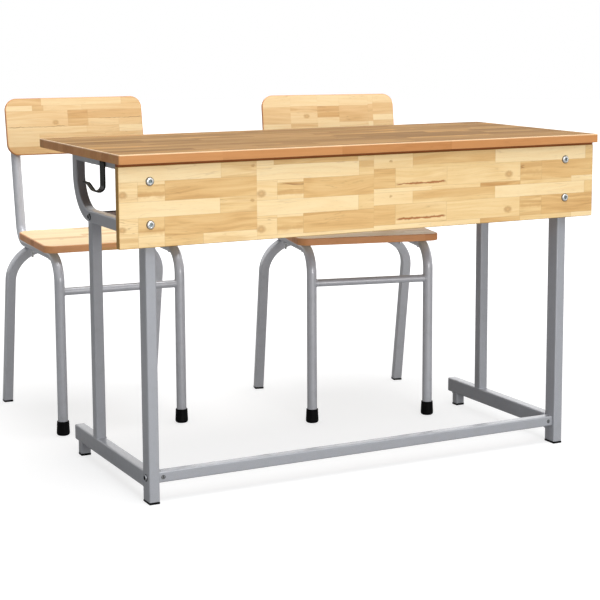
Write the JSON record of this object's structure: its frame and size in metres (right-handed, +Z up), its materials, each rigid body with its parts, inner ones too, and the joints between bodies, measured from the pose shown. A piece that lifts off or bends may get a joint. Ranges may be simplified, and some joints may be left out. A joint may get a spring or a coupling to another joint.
{
  "type": "school desk and chairs",
  "caption": "Double school desk on a steel tube frame with a front panel, an open book compartment and side hooks, and chairs that stand behind it.",
  "frame": {"origin": "on the floor, at the middle of the set's bounding box", "axes": "+X along the desk's width, to the right as seen from its front panel; +Y from the front panel towards the chairs; +Z up"},
  "size_m": [1.2, 1.1166, 0.8141],
  "materials": {
    "powder_coat": "silver-grey powder coat, semi-gloss",
    "rubberwood": "finger-jointed light hardwood boards, satin lacquer",
    "top_board": "olive-brown wood surface with light edge bands, satin",
    "shelf_board": "reddish-brown board, satin",
    "black_rubber": "matt black",
    "black_plastic": "moulded black",
    "hook_black": "black coat, semi-gloss",
    "zinc": "zinc plated"
  },
  "bodies": {
    "desk": {"desk_top": "top_board", "modesty_panel": "rubberwood", "book_shelf": "shelf_board", "shelf_batten": "rubberwood", "front_cross_bar": "powder_coat", "rear_shelf_rail": "powder_coat", "left_front_leg": "powder_coat", "left_rear_leg": "powder_coat", "left_top_rail": "powder_coat", "left_shelf_bow": "powder_coat", "left_foot_rail": "powder_coat", "left_stub_foot": "powder_coat", "left_front_cap": "black_plastic", "left_rear_cap": "black_plastic", "left_bag_hook": "hook_black", "left_lower_panel_bolt": "zinc", "left_upper_panel_bolt": "zinc", "left_cross_bar_bolt": "zinc", "left_shelf_bolt": "zinc", "right_front_leg": "powder_coat", "right_rear_leg": "powder_coat", "right_top_rail": "powder_coat", "right_shelf_bow": "powder_coat", "right_foot_rail": "powder_coat", "right_stub_foot": "powder_coat", "right_front_cap": "black_plastic", "right_rear_cap": "black_plastic", "right_bag_hook": "hook_black", "right_lower_panel_bolt": "zinc", "right_upper_panel_bolt": "zinc", "right_cross_bar_bolt": "zinc", "right_shelf_bolt": "zinc"},
    "left_chair": {"left_chair_seat": "rubberwood", "left_chair_backrest": "rubberwood", "left_chair_rear_frame": "powder_coat", "left_chair_stretcher": "powder_coat", "left_chair_left_side_tube": "powder_coat", "left_chair_right_side_tube": "powder_coat", "left_chair_left_ferrule": "black_rubber", "left_chair_right_ferrule": "black_rubber", "left_chair_left_rear_cap": "black_plastic", "left_chair_right_rear_cap": "black_plastic", "left_chair_left_seat_stud": "zinc", "left_chair_right_seat_stud": "zinc", "left_chair_left_backrest_screw": "zinc", "left_chair_right_backrest_screw": "zinc"},
    "right_chair": {"right_chair_seat": "rubberwood", "right_chair_backrest": "rubberwood", "right_chair_rear_frame": "powder_coat", "right_chair_stretcher": "powder_coat", "right_chair_left_side_tube": "powder_coat", "right_chair_right_side_tube": "powder_coat", "right_chair_left_ferrule": "black_rubber", "right_chair_right_ferrule": "black_rubber", "right_chair_left_rear_cap": "black_plastic", "right_chair_right_rear_cap": "black_plastic", "right_chair_left_seat_stud": "zinc", "right_chair_right_seat_stud": "zinc", "right_chair_left_backrest_screw": "zinc", "right_chair_right_backrest_screw": "zinc"}
  },
  "joints": [
    {"name": "left_chair_slide", "type": "slide", "parent": "desk", "child": "left_chair", "axis": [0, 1, 0], "range_m": [-0.12, 0.35]},
    {"name": "right_chair_slide", "type": "slide", "parent": "desk", "child": "right_chair", "axis": [0, 1, 0], "range_m": [-0.25, 0.35]}
  ]
}
